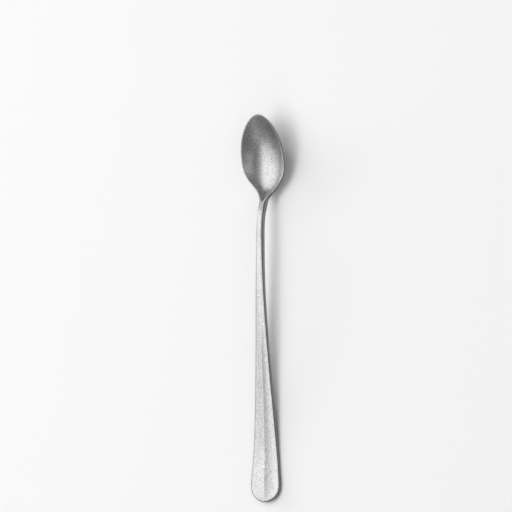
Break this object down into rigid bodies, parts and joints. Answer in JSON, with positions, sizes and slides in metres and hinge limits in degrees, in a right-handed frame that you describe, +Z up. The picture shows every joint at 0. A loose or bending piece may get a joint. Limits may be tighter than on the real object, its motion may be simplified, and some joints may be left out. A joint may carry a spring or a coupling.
{
  "type": "iced tea spoon",
  "caption": "Long slender steel spoon with a small oval bowl, arched neck, and a flat handle that flares to a round end with a middle crest; stirs and sips tall drinks.",
  "frame": {"origin": "centre of the spoon's footprint on the table that it lies on", "axes": "+Y along the spoon towards the tip of the bowl, +X across it, +Z up out of the table, with the hollow of the bowl facing up"},
  "size_m": [0.0266, 0.2, 0.013],
  "materials": {
    "steel": "stone-washed satin, fine random specks"
  },
  "bodies": {
    "root": {"bowl": "steel", "neck": "steel", "stem": "steel", "handle": "steel"}
  },
  "joints": []
}
